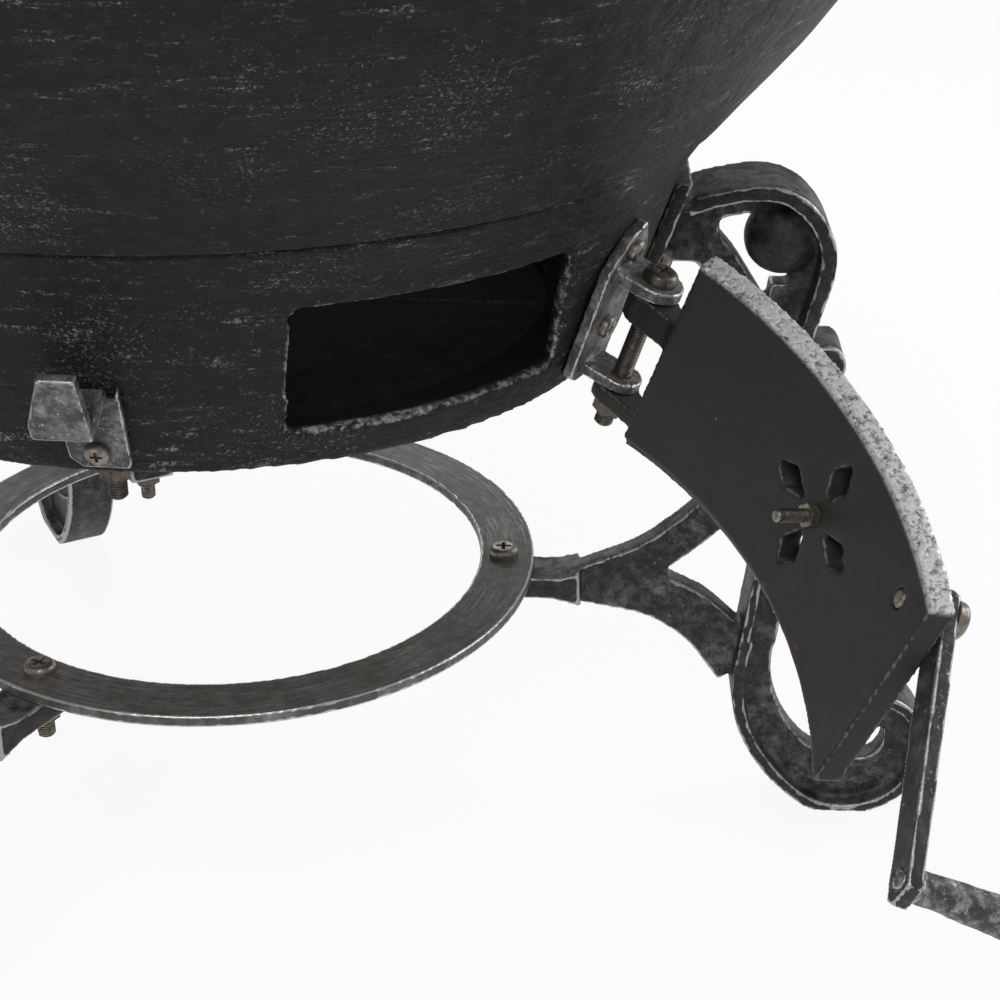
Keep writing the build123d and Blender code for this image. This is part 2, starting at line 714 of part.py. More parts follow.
# Fire grate, loose on the bowl's flange
grate = rod(grate_radius, grate_seat, grate_seat + grate_height)
grate -= rod(grate_radius - grate_rim, 0, 600)
bar_count = int((grate_radius - grate_rim) // grate_pitch)
for k in range(-bar_count, bar_count + 1):
    bar = Pos(k * grate_pitch, 0, grate_seat) * Box(
        grate_bar, 2 * grate_radius, grate_height, align=(Align.CENTER, Align.CENTER, Align.MIN)
    )
    grate += bar & rod(grate_radius - grate_rim / 2, grate_seat, grate_seat + grate_height)
grate += Pos(0, 0, grate_seat) * Box(
    2 * grate_radius - grate_rim, grate_bar, grate_height - 2, align=(Align.CENTER, Align.CENTER, Align.MIN)
)


def swing(shape):
    return shape.rotate(hinge_axis, door_open_angle)


nodes = {
    "drum": drum,
    "fire_bowl": fire_bowl,
    "ash_floor": ash_floor,
    "floor_bolts": floor_bolts,
    "floor_nuts": floor_nuts,
    "joint_bolts": joint_bolts,
    "joint_nuts": joint_nuts,
    "fire_grate": grate,
    "foot_ring": ring,
    "leg_right": legs[0],
    "leg_left": legs[1],
    "leg_rear": legs[2],
    "ring_screws": ring_screws,
    "ring_nuts": ring_nuts,
    "leg_pad_screws": pad_screws,
    "leg_pad_nuts": pad_nuts,
    "hinge_bracket": hinge_bracket,
    "bracket_screws": bracket_screws,
    "bracket_nuts": bracket_nuts,
    "hinge_pin": hinge_pin,
    "hinge_nut": hinge_nut,
    "catch": catch,
    "catch_screws": catch_screws,
    "catch_nuts": catch_nuts,
    "door": swing(door),
    "damper_disc": swing(damper),
    "damper_bolt": swing(damper_bolt),
    "damper_nut": swing(damper_nut),
    "latch_bar": swing(latch_bar),
    "latch_screw": swing(latch_screw),
    "handle": swing(handle),
}


def solids_of(shape):
    parts = shape if isinstance(shape, list) else [shape]
    out = []
    for piece in parts:
        out += list(piece.solids())
    return out


# The part's origin is on the floor under the middle of its whole box
whole = Compound(children=[copy(solid) for shape in nodes.values() for solid in solids_of(shape)]).bounding_box()
to_origin = Pos(-(whole.min.X + whole.max.X) / 2, -(whole.min.Y + whole.max.Y) / 2, 0)

os.makedirs("parts", exist_ok=True)
for name, shape in nodes.items():
    found = [to_origin * solid for solid in solids_of(shape)]
    body = found[0] if len(found) == 1 else Compound(children=found)
    body.label = name
    export_step(body, "parts/" + name + ".step")
print("moved to the origin by", to_origin.position)

print("hinge axis", hinge_axis.position, hinge_axis.direction)
for label, plane in (("damper", damper_frame), ("latch", latch_frame)):
    print(label, plane.origin, plane.z_dir)
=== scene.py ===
"""Cast iron fire pit: the looks of its castings, ironmongery and screws, and a pale studio."""

import json
from math import atan2, ceil, cos, hypot, radians, sin, tan, tau

import bpy
from bpy.props import FloatProperty, FloatVectorProperty, PointerProperty
from mathutils import Matrix, Vector


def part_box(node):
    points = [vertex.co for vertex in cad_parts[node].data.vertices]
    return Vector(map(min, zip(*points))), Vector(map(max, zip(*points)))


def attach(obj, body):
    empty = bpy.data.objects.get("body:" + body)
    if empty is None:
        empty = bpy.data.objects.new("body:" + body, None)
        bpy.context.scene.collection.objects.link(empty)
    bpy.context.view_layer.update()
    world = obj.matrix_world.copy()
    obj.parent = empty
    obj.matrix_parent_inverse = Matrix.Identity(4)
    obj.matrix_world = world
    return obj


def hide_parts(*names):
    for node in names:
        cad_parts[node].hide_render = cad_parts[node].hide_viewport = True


bl_info = {
    "name": "Cast Iron Fire Pit",
    "version": (1, 0, 0),
    "blender": (4, 5, 0),
    "location": "View3D > Sidebar > Fire Pit",
    "description": "Dresses the packed fire pit in worn black iron and sets it in a pale studio",
    "category": "Object",
}

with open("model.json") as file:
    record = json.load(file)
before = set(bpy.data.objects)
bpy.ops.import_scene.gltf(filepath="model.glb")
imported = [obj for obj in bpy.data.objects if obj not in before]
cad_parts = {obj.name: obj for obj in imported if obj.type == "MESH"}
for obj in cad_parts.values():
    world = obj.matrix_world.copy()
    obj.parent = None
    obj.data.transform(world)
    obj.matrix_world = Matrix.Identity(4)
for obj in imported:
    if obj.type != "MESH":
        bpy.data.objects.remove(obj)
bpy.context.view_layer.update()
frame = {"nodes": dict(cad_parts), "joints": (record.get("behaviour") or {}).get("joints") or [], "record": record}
nodes = frame["nodes"]
body_of = {n: body for body, members in frame["record"]["behaviour"]["bodies"].items() for n in members}
slot_of = {part["node"]: part["material_slot"] for part in frame["record"]["subparts"]}
joints = {joint["name"]: joint for joint in frame["joints"]}
bowl_low, bowl_high = (Vector(corner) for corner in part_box("fire_bowl"))
pit_axis = Vector(((bowl_low.x + bowl_high.x) / 2, (bowl_low.y + bowl_high.y) / 2, 0.0))

MM = 0.001
LEG_AZIMUTHS = {"leg_right": -30.0, "leg_left": -150.0, "leg_rear": 90.0}
DOOR_OPEN = radians(86.5)
DOOR_TOP = 298.0 * MM
DOOR_BOTTOM = 227.5 * MM
DOOR_FOOT_LEVEL = -75.0
DOOR_FOOT_TILT = 5.0
DOOR_RIM_FADE = (1.6 * MM, 0.3 * MM)
DOOR_LIP_FADE = (4.5 * MM, 7.0 * MM)
LEG_WEB_FADE = (5.0 * MM, 7.0 * MM)
DRUM_SEAM = 4.0 * MM
RING_SCREW_CIRCLE = 112.5 * MM
FLOOR_BOLT_CIRCLE = 140.5 * MM
FLOOR_BOLT_AZIMUTHS = (-124.0, -4.0, 116.0)
M6_RADIUS = 3.0 * MM
M6_PITCH = 1.0 * MM
M4_RADIUS = 2.0 * MM
M4_PITCH = 0.7 * MM
BOLT_END = 0.8 * MM
BOLT_ENDS = 1.2 * MM

# Outer wall of the drum and bowl: height and radius, in millimetres
OUTER_WALL = ((230.0, 156.5), (298.0, 179.5), (316.0, 192.0), (331.0, 206.0), (347.0, 219.6))
OUTER_WALL += ((372.0, 236.6), (402.0, 252.6), (432.0, 262.6), (460.0, 262.6))
OUTER_SKIN = 3.2

# Bare threads, by name: where each starts along its axis, and its length
HINGE_PIN_THREADS = {
    "hinge_pin_thread": (-5.8 * MM, 23.0 * MM),
    "hinge_pin_end_thread": (-27.0 * MM, 5.2 * MM),
}
DAMPER_THREAD = (2.6 * MM, 9.0 * MM)

DULL_SCREWS = ("floor_bolts", "floor_nuts", "ring_nuts", "hinge_pin", "hinge_nut")
SMOOTH_ANGLE = radians(25.0)


# Sizes and colours


class PitFinish(bpy.types.PropertyGroup):
    paint: FloatVectorProperty(
        name="Stove paint",
        description="Dark charcoal paint of the bowl, drum and door",
        subtype="COLOR",
        size=3,
        default=(0.0058, 0.0062, 0.0066),
        min=0.0,
        max=1.0,
    )
    rubbed: FloatVectorProperty(
        name="Rubbed iron",
        description="Silver of the iron where the paint is rubbed away",
        subtype="COLOR",
        size=3,
        default=(0.42, 0.42, 0.415),
        min=0.0,
        max=1.0,
    )
    ring_iron: FloatVectorProperty(
        name="Foot ring iron",
        description="Warm grey brown of the foot ring's top",
        subtype="COLOR",
        size=3,
        default=(0.062, 0.058, 0.051),
        min=0.0,
        max=1.0,
    )
    rust: FloatVectorProperty(
        name="Rust",
        description="Orange brown of the rust in recesses and on bare edges",
        subtype="COLOR",
        size=3,
        default=(0.19, 0.075, 0.03),
        min=0.0,
        max=1.0,
    )
    zinc: FloatVectorProperty(
        name="Zinc plate",
        description="Dull warm plating of the screws and nuts",
        subtype="COLOR",
        size=3,
        default=(0.30, 0.275, 0.235),
        min=0.0,
        max=1.0,
    )
    edge_width: FloatProperty(
        name="Worn edge",
        description="How far the rubbed silver reaches in from an edge",
        unit="LENGTH",
        default=0.0016,
        min=0.0002,
        max=0.006,
    )
    casting_voxel: FloatProperty(
        name="Casting detail",
        description="Size of the faces on the worked castings",
        unit="LENGTH",
        default=0.0011,
        min=0.0005,
        max=0.004,
    )
    casting_relief: FloatProperty(
        name="Casting relief",
        description="Height of the sand cast lumps on the small castings",
        unit="LENGTH",
        default=0.0004,
        min=0.0,
        max=0.002,
    )


class PitStudio(bpy.types.PropertyGroup):
    floor_size: FloatProperty(
        name="Floor",
        description="Side of the square floor",
        unit="LENGTH",
        default=12.0,
        min=2.0,
    )
    focal_length: FloatProperty(
        name="Lens",
        description="Focal length of the camera on a 36 mm sensor",
        subtype="DISTANCE_CAMERA",
        default=68.5,
        min=20.0,
        max=200.0,
    )
    heading: FloatProperty(
        name="Heading",
        description="Turn of the camera from the pit's back towards its right",
        subtype="ANGLE",
        default=radians(28.41),
    )
    tilt_down: FloatProperty(
        name="Tilt",
        description="How far the camera looks down",
        subtype="ANGLE",
        default=radians(27.46),
    )
    roll: FloatProperty(
        name="Roll",
        description="Roll of the camera about its own line of sight",
        subtype="ANGLE",
        default=radians(0.61),
    )
    camera_place: FloatVectorProperty(
        name="Camera",
        description="Where the camera stands, measured from the pit's axis on the floor",
        subtype="TRANSLATION",
        size=3,
        default=(-0.2313, -0.6605, 0.4998),
    )
    lamp_power: FloatProperty(
        name="Lamps",
        description="Power of the main lamp in watts; the others follow it",
        default=26.0,
        min=0.0,
    )


# Shader sums


class Wire:
    """One shader value: sums and products of wires add their own Math nodes."""

    def __init__(self, tree, socket=None):
        self.tree = tree
        self.socket = socket

    def add(self, kind, settings=(), sockets=(), out=0):
        """A node of that kind, its settings set first and then its sockets."""
        made = self.tree.nodes.new(kind)
        for key, value in dict(settings).items():
            setattr(made, key, value)
        for key, value in dict(sockets).items():
            if isinstance(value, Wire):
                self.tree.links.new(value.socket, made.inputs[key])
            else:
                made.inputs[key].default_value = value
        return Wire(self.tree, made.outputs[out] if made.outputs else None)

    def _sum(self, operation, first, second):
        return self.add("ShaderNodeMath", {"operation": operation}, {0: first, 1: second})

    def __add__(self, other):
        return self._sum("ADD", self, other)

    def __radd__(self, other):
        return self._sum("ADD", other, self)

    def __sub__(self, other):
        return self._sum("SUBTRACT", self, other)

    def __rsub__(self, other):
        return self._sum("SUBTRACT", other, self)

    def __mul__(self, other):
        return self._sum("MULTIPLY", self, other)

    def __rmul__(self, other):
        return self._sum("MULTIPLY", other, self)

    def __pow__(self, other):
        return self._sum("POWER", self, other)

    def most(self, other):
        return self._sum("MAXIMUM", self, other)

    def least(self, other):
        return self._sum("MINIMUM", self, other)

    def between(self, low, high):
        """0 below low, 1 above high and smooth between them."""
        return self.add(
            "ShaderNodeMapRange",
            {"interpolation_type": "SMOOTHSTEP"},
            {"Value": self, "From Min": low, "From Max": high},
        )

    def colours(self, at_zero, at_one):
        """Colour that goes from one to the other as this value goes from 0 to 1."""
        ends = {0: self, 6: at_zero, 7: at_one}
        return self.add("ShaderNodeMix", {"data_type": "RGBA"}, ends, 2)

    def vector(self, operation, other, out=0):
        return self.add("ShaderNodeVectorMath", {"operation": operation}, {0: self, 1: other}, out)

    def noise(self, scale, detail=3.0, roughness=0.55, distortion=0.0):
        sizes = {"Vector": self, "Scale": scale, "Detail": detail, "Roughness": roughness}
        return self.add("ShaderNodeTexNoise", {}, {**sizes, "Distortion": distortion})

    def around_axis(self, around, along, outward=0.0):
        """Places that run round the pit's axis, so that marks follow its turning."""
        flat = self.vector("MULTIPLY", (1.0, 1.0, 0.0))
        heading = self.add("ShaderNodeVectorMath", {"operation": "NORMALIZE"}, {0: flat})
        reach = self.add("ShaderNodeVectorMath", {"operation": "LENGTH"}, {0: flat}, "Value")
        height = self.add("ShaderNodeSeparateXYZ", {}, {0: self}, 2)
        lift = self.add("ShaderNodeCombineXYZ", {}, {2: height * along + reach * outward})
        wide = heading.vector("MULTIPLY", (around, around, 0.0))
        return wide.vector("ADD", lift)


def solid(colour, share=1.0):
    """A colour property as the four numbers of a colour socket."""
    return tuple(channel * share for channel in colour) + (1.0,)


def new_finish(name):
    """An empty material: (material, wire to build it from, places measured from the pit's axis)."""
    material = bpy.data.materials.new(name)
    material.use_nodes = True
    material.node_tree.nodes.clear()
    wire = Wire(material.node_tree)
    place = wire.add("ShaderNodeTexCoord", {}, {}, "Object")
    return material, wire, place.vector("SUBTRACT", tuple(pit_axis))


def soften_edges(wire, width, samples=8):
    """(how sharply the surface turns nearby, its softened normal)."""
    soft = wire.add("ShaderNodeBevel", {"samples": samples}, {"Radius": width})
    straight = wire.add("ShaderNodeNewGeometry", {}, {}, "Normal")
    return 1.0 - soft.vector("DOT_PRODUCT", straight, "Value"), soft


def high_edges(wire):
    """How far the skin of a worked casting stands out, as at its edges."""
    return wire.add("ShaderNodeAttribute", {"attribute_name": "raised"}, {}, "Fac").between(0.10, 0.30) * 0.2


def close_finish(wire, colour, metal, rough, height, depth, soft=None, gloss=0.5):
    """Joins the values to the surface shader and the material's output."""
    relief = {"Strength": 1.0, "Distance": depth, "Height": height}
    if soft:
        relief["Normal"] = soft
    normal = wire.add("ShaderNodeBump", {}, relief)
    values = {"Base Color": colour, "Metallic": metal, "Roughness": rough, "Normal": normal}
    shader = wire.add("ShaderNodeBsdfPrincipled", {}, {**values, "Specular IOR Level": gloss})
    wire.add("ShaderNodeOutputMaterial", {}, {"Surface": shader})


def sand_grain(place):
    """Height of sand cast iron: grain, pits and slow lumps."""
    grain = place.noise(1500.0, 3.0, 0.7)
    pits = place.noise(420.0, 4.0, 0.65, 0.3)
    lumps = place.noise(95.0, 3.0, 0.5)
    return grain * 0.35 + pits * 0.9 + lumps * 1.2


def cast_surface(name, finish, **look):
    """Painted casting whose edges, high spots and turned streaks are rubbed to silver."""
    paint = look.get("paint", finish.paint)
    material, wire, place = new_finish(name)
    if look.get("fine_mesh"):
        sharp, soft = high_edges(wire), None
    else:
        sharp, soft = soften_edges(wire, finish.edge_width)
    lines = place.around_axis(5.0, 150.0).noise(1.6, 6.0, 0.75)
    waves = place.noise(34.0, 3.0, 0.5, 1.2)
    height = sand_grain(place) + lines * look.get("lines", 0.0) + waves * look.get("waves", 0.0)
    patches = place.noise(26.0, 4.0, 0.6)
    broken = place.noise(340.0, 4.0, 0.7)
    edge = sharp * look.get("edge", 6.0) + (broken - 0.55) * look.get("edge_breaks", 1.1)
    edge = edge.between(0.18, 0.95)
    specks = place.noise(look.get("speck_scale", 620.0), 2.0, 0.75)
    zone = patches.between(0.42, 0.68)
    flecks = (specks + zone * 0.11).between(look.get("speck_cut", 0.67), 0.79)
    streak = lines.between(0.54, 0.72) * specks.between(0.46, 0.64)
    bare = (edge + flecks * look.get("fleck", 0.5) + streak * look.get("streak", 0.25)).least(1.0)
    mottle = place.noise(look.get("mottle_scale", 150.0), 5.0, 0.7).between(0.42, 0.72)
    dull = mottle.colours(solid(paint), solid(look.get("mottle", paint)))
    rusting = place.noise(60.0, 5.0, 0.65).between(0.62, 0.74) * look.get("rusting", 0.12)
    rusted = rusting.colours(dull, solid(finish.rust))
    inside = 0.0
    if look.get("sooty"):
        inside = wire.add("ShaderNodeAttribute", {"attribute_name": "inside"}, {}, "Fac")
        bare = bare * (1.0 - inside * 0.97)
        rusted = inside.colours(rusted, solid((0.004, 0.0038, 0.0036)))
    colour = bare.colours(rusted, solid(finish.rubbed))
    metal = bare * 0.85 + mottle * look.get("mottle_metal", 0.0)
    rough = (look.get("roughness", 0.52) + mottle * 0.12 - bare * 0.16).most(inside)
    close_finish(wire, colour, metal, rough, height, look.get("relief", 0.0004), soft, look.get("gloss", 0.3))
    return material


def door_surface(finish):
    """Door: smooth sooty faces, a rough bright rim and rust along its foot."""
    material, wire, place = new_finish("sooty_door_iron")
    sharp = high_edges(wire)
    rim = wire.add("ShaderNodeAttribute", {"attribute_name": "rim"}, {}, "Fac")
    foot = wire.add("ShaderNodeAttribute", {"attribute_name": "foot"}, {}, "Fac")
    broken = place.noise(300.0, 5.0, 0.75)
    edge = (sharp * 5.0 + (broken - 0.55) * 1.5).between(0.45, 0.95) * (0.12 + rim * 0.88)
    chipped = place.noise(520.0, 5.0, 0.8)
    torn = ((broken - 0.5) * 1.4 + (chipped - 0.5) * 2.4 + 0.74).between(0.15, 0.9)
    specks = place.noise(700.0, 2.0, 0.75).between(0.73, 0.80) * 0.35
    bare = edge.most(torn * rim).most(specks)
    cloud = place.noise(24.0, 4.0, 0.55).between(0.35, 0.7)
    soot = cloud.colours(solid((0.022, 0.0215, 0.021)), solid((0.031, 0.029, 0.027)))
    flaking = place.noise(130.0, 5.0, 0.7).between(0.60, 0.72) * (0.10 + foot * 0.6 + rim * 0.35)
    rusted = flaking.least(0.9).colours(soot, solid(finish.rust))
    colour = bare.colours(rusted, solid(finish.rubbed, 1.8))
    height = place.noise(900.0, 3.0, 0.7) * 0.3 + place.noise(210.0, 3.0, 0.6) * 0.6 + torn * rim * 2.5
    close_finish(wire, colour, bare * 0.85, 0.50 + cloud * 0.1 - bare * 0.12, height, 0.0002, gloss=0.3)
    return material


def ring_surface(finish):
    """Foot ring: warm grey iron, brushed in arcs, its outer edge bright."""
    material, wire, place = new_finish("turned_ring_iron")
    sharp = high_edges(wire)
    broken = place.noise(260.0, 4.0, 0.7)
    edge = (sharp * 6.5 + (broken - 0.5) * 1.2).between(0.12, 0.7)
    arcs = place.around_axis(4.0, 0.0, 900.0).noise(1.3, 4.0, 0.7)
    fine = place.around_axis(14.0, 0.0, 2600.0).noise(1.2, 3.0, 0.7)
    brushed = (arcs * 0.6 + fine * 0.5).between(0.50, 0.74)
    patches = place.noise(30.0, 4.0, 0.6).between(0.40, 0.68)
    bare = (edge + brushed * patches * 0.42 + brushed * 0.14).least(1.0)
    mottle = place.noise(170.0, 5.0, 0.7).between(0.40, 0.70)
    dull = mottle.colours(solid(finish.ring_iron), solid(finish.ring_iron, 1.7))
    rusting = place.noise(48.0, 5.0, 0.7).between(0.58, 0.74) * 0.35
    colour = bare.colours(rusting.colours(dull, solid(finish.rust, 0.8)), solid(finish.rubbed, 1.2))
    height = sand_grain(place) * 0.6 + arcs * 0.7 + fine * 0.4
    close_finish(wire, colour, bare * 0.8 + 0.1, 0.50 - bare * 0.14, height, 0.00016, gloss=0.45)
    return material


def leg_surface(finish):
    """Leg: dark flanges with rubbed ribs, mottled grey webs between them, and silver patches on faces that look
    up: painted top light mixed with wear.
    """
    material, wire, place = new_finish("scrolled_leg_iron")
    sharp = high_edges(wire)
    web = wire.add("ShaderNodeAttribute", {"attribute_name": "web"}, {}, "Fac")
    broken = place.noise(330.0, 4.0, 0.7)
    edge = (sharp * 6.5 + (broken - 0.55) * 1.2).between(0.2, 0.85)
    specks = place.noise(560.0, 2.0, 0.75)
    high = place.noise(34.0, 4.0, 0.6).between(0.42, 0.66)
    flecks = (specks + high * 0.08).between(0.68, 0.80)
    # Painted light: faces that look up get broken patches of rubbed silver, a painted lighter top where light
    # falls from above, only partly wear.
    facing = wire.add("ShaderNodeNewGeometry", {}, {}, "Normal")
    rise = wire.add("ShaderNodeSeparateXYZ", {}, {0: facing}, 2)
    lit_tops_and_wear = rise.between(0.1, 0.9) * place.noise(120.0, 4.0, 0.7).between(0.36, 0.66) * 0.30
    bare = (edge * 0.9 + flecks * 0.5 + lit_tops_and_wear).least(1.0)
    grey = place.noise(190.0, 6.0, 0.75).between(0.38, 0.68)
    cloud = place.noise(55.0, 4.0, 0.6).between(0.35, 0.65)
    mottled = (grey * cloud * web * 0.8 + grey * 0.25).least(1.0)
    dull = mottled.colours(solid((0.0135, 0.0135, 0.0135)), solid((0.15, 0.15, 0.146)))
    rusting = place.noise(70.0, 5.0, 0.65).between(0.62, 0.76) * 0.2
    colour = bare.colours(rusting.colours(dull, solid(finish.rust, 0.8)), solid(finish.rubbed))
    metal = bare * 0.85 + mottled * 0.35
    close_finish(wire, colour, metal, 0.54 - bare * 0.14, sand_grain(place), 0.00030, gloss=0.3)
    return material


def plated_surface(name, finish, plate, tarnish):
    """Screws and nuts: dull plating, dark in the recesses, with rust caught there."""
    material, wire, place = new_finish(name)
    soft = soften_edges(wire, 0.0004, 4)[1]
    hollow = 1.0 - wire.add("ShaderNodeAmbientOcclusion", {"samples": 6}, {"Distance": 0.003}, "AO")
    cloud = place.noise(420.0, 4.0, 0.65).between(0.38, 0.70)
    scratch = place.noise(1900.0, 3.0, 0.7)
    stained = cloud.colours(solid(plate), solid(plate, 0.5))
    rusting = (hollow * 1.5 + (place.noise(700.0, 4.0, 0.7) - 0.6) * 1.6).between(0.35, 0.9)
    colour = (rusting * tarnish).colours(stained, solid(finish.rust, 0.7))
    metal = 0.9 - rusting * 0.7
    rough = 0.36 + cloud * 0.18 + rusting * 0.2
    close_finish(wire, colour, metal, rough, scratch + cloud * 0.6, 0.00005, soft, 0.5)
    return material


def make_finishes(finish):
    """Every material of the pit, by name."""
    walls = {
        "mottle": tuple(channel * 3.0 for channel in finish.paint),
        "fleck": 0.34,
        "speck_scale": 900.0,
        "streak": 0.8,
        "lines": 5.0,
        "edge": 3.0,
        "edge_breaks": 2.6,
        "waves": 9.0,
        "gloss": 0.22,
        "sooty": True,
    }
    return {
        "bowl": cast_surface("black_bowl_iron", finish, **walls),
        "drum": cast_surface("black_drum_iron", finish, fine_mesh=True, **walls),
        "grate": cast_surface(
            "sooty_grate_iron",
            finish,
            paint=(0.006, 0.0055, 0.005),
            rusting=0.1,
            fleck=0.05,
            roughness=0.85,
        ),
        "work": cast_surface(
            "rubbed_hinge_iron",
            finish,
            fine_mesh=True,
            paint=(0.055, 0.055, 0.054),
            mottle=(0.30, 0.30, 0.29),
            mottle_metal=0.5,
            fleck=1.0,
            speck_cut=0.60,
            edge=8.0,
            streak=0.1,
            rusting=0.3,
            relief=0.0003,
            roughness=0.46,
        ),
        "handle": cast_surface(
            "hammered_handle_iron",
            finish,
            fine_mesh=True,
            paint=(0.045, 0.045, 0.044),
            mottle=(0.36, 0.355, 0.345),
            mottle_metal=0.55,
            mottle_scale=230.0,
            fleck=0.9,
            speck_cut=0.62,
            streak=0.0,
            rusting=0.35,
            relief=0.00035,
            roughness=0.44,
        ),
        "bar": cast_surface(
            "latch_bar_iron",
            finish,
            fine_mesh=True,
            paint=(0.02, 0.02, 0.02),
            mottle=(0.09, 0.09, 0.088),
            mottle_metal=0.3,
            fleck=0.6,
            edge=7.0,
            rusting=0.3,
            relief=0.0003,
        ),
        "ring": ring_surface(finish),
        "leg": leg_surface(finish),
        "door": door_surface(finish),
        "zinc": plated_surface("dull_zinc_steel", finish, finish.zinc, 0.85),
        "thread": plated_surface("oiled_thread_steel", finish, (0.13, 0.115, 0.095), 0.6),
        "rosette": plated_surface("worn_rosette_steel", finish, (0.26, 0.255, 0.245), 0.7),
    }


# Pieces


def clear_selection():
    if bpy.context.object and bpy.context.object.mode != "OBJECT":
        bpy.ops.object.mode_set(mode="OBJECT")
    bpy.ops.object.select_all(action="DESELECT")


def pick(piece):
    """Only this piece is selected and active."""
    clear_selection()
    piece.select_set(True)
    bpy.context.view_layer.objects.active = piece


def apply_modifier(piece, kind, **settings):
    pick(piece)
    modifier = piece.modifiers.new(kind.lower(), kind)
    for key, value in settings.items():
        setattr(modifier, key, value)
    bpy.ops.object.modifier_apply(modifier=modifier.name)


def worked_copy(node):
    """A merged copy of a CAD node, ready to be worked on, that stands for the node."""
    piece = bpy.data.objects.new(node + "_worked", nodes[node].data.copy())
    bpy.context.scene.collection.objects.link(piece)
    pick(piece)
    bpy.ops.object.mode_set(mode="EDIT")
    bpy.ops.mesh.select_all(action="SELECT")
    bpy.ops.mesh.remove_doubles(threshold=0.000004)
    bpy.ops.mesh.normals_make_consistent(inside=False)
    bpy.ops.object.mode_set(mode="OBJECT")
    return piece


def stand_for(piece, node, material):
    """The piece takes the node's place, body and finish."""
    piece.data.materials.clear()
    piece.data.materials.append(material)
    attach(piece, body_of[node])
    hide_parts(node)


def smooth_by_angle(piece):
    pick(piece)
    bpy.ops.object.shade_smooth_by_angle(angle=SMOOTH_ANGLE)


def lumpy_texture(name, size):
    texture = bpy.data.textures.new(name, "CLOUDS")
    texture.noise_scale = size
    texture.noise_depth = 3
    return texture


def cast_copy(node, finish, voxel=1.0, relief=1.0, lump=0.009, rounds=2):
    """Copy of a node with the soft edges and uneven skin of a sand casting."""
    piece = worked_copy(node)
    size = finish.casting_voxel * voxel
    apply_modifier(piece, "REMESH", mode="VOXEL", voxel_size=size, use_smooth_shade=True)
    apply_modifier(piece, "SMOOTH", factor=0.5, iterations=rounds)
    height = finish.casting_relief * relief
    texture = lumpy_texture(node + "_lumps", lump)
    apply_modifier(piece, "DISPLACE", texture=texture, strength=height, mid_level=0.5, texture_coords="LOCAL")
    mark_raised(piece, size)
    return piece


def mark(piece, name, rule):
    """Keeps a number from 0 to 1 at each vertex for the finish to read."""
    layer = piece.data.attributes.new(name, "FLOAT", "POINT")
    layer.data.foreach_set("value", [rule(vertex.co) for vertex in piece.data.vertices])


def mark_raised(piece, size, rounds=10):
    """Keeps how far each vertex stands out from its smoothed surroundings, in voxels."""
    blurred = bpy.data.objects.new("blurred", piece.data.copy())
    bpy.context.scene.collection.objects.link(blurred)
    apply_modifier(blurred, "SMOOTH", factor=0.5, iterations=rounds)
    pairs = zip(piece.data.vertices, blurred.data.vertices)
    raised = [(kept.co - sunk.co).dot(kept.normal) / size for kept, sunk in pairs]
    piece.data.attributes.new("raised", "FLOAT", "POINT").data.foreach_set("value", raised)
    bpy.data.objects.remove(blurred)


def step(value, low, high):
    t = min(max((value - low) / (high - low), 0.0), 1.0)
    return t * t * (3 - 2 * t)


def coat_node(node, material):
    """A finish for a CAD node that keeps its own mesh."""
    mesh = nodes[node].data
    if mesh.materials:
        for i in range(len(mesh.materials)):
            mesh.materials[i] = material
    else:
        mesh.materials.append(material)


def within_wall(point):
    """1 on the sooty inner wall of the drum and bowl, 0 on the outer wall."""
    reach = hypot(point.x - pit_axis.x, point.y - pit_axis.y)
    height = point.z / MM
    outer = OUTER_WALL[0][1]
    for (low, near), (high, far) in zip(OUTER_WALL, OUTER_WALL[1:]):
        if low <= height <= high:
            outer = near + (far - near) * (height - low) / (high - low)
    return 1.0 if reach < (outer - OUTER_SKIN) * MM else 0.0


def dull_seam(drum):
    """The drum's top edge, which the bowl covers, isn't rubbed bright."""
    top = max(vertex.co.z for vertex in drum.data.vertices)
    raised = drum.data.attributes["raised"].data
    for vertex in drum.data.vertices:
        if vertex.co.z > top - DRUM_SEAM:
            raised[vertex.index].value = 0.0


def shut_door_place(place):
    """Where a point of the open door lies when the door is shut."""
    hinge = joints["door_hinge"]
    pivot = Vector(hinge["pos_m"])
    turn = Matrix.Rotation(-DOOR_OPEN, 3, Vector(hinge["axis"]))
    return turn @ (Vector(place) - pivot) + pivot


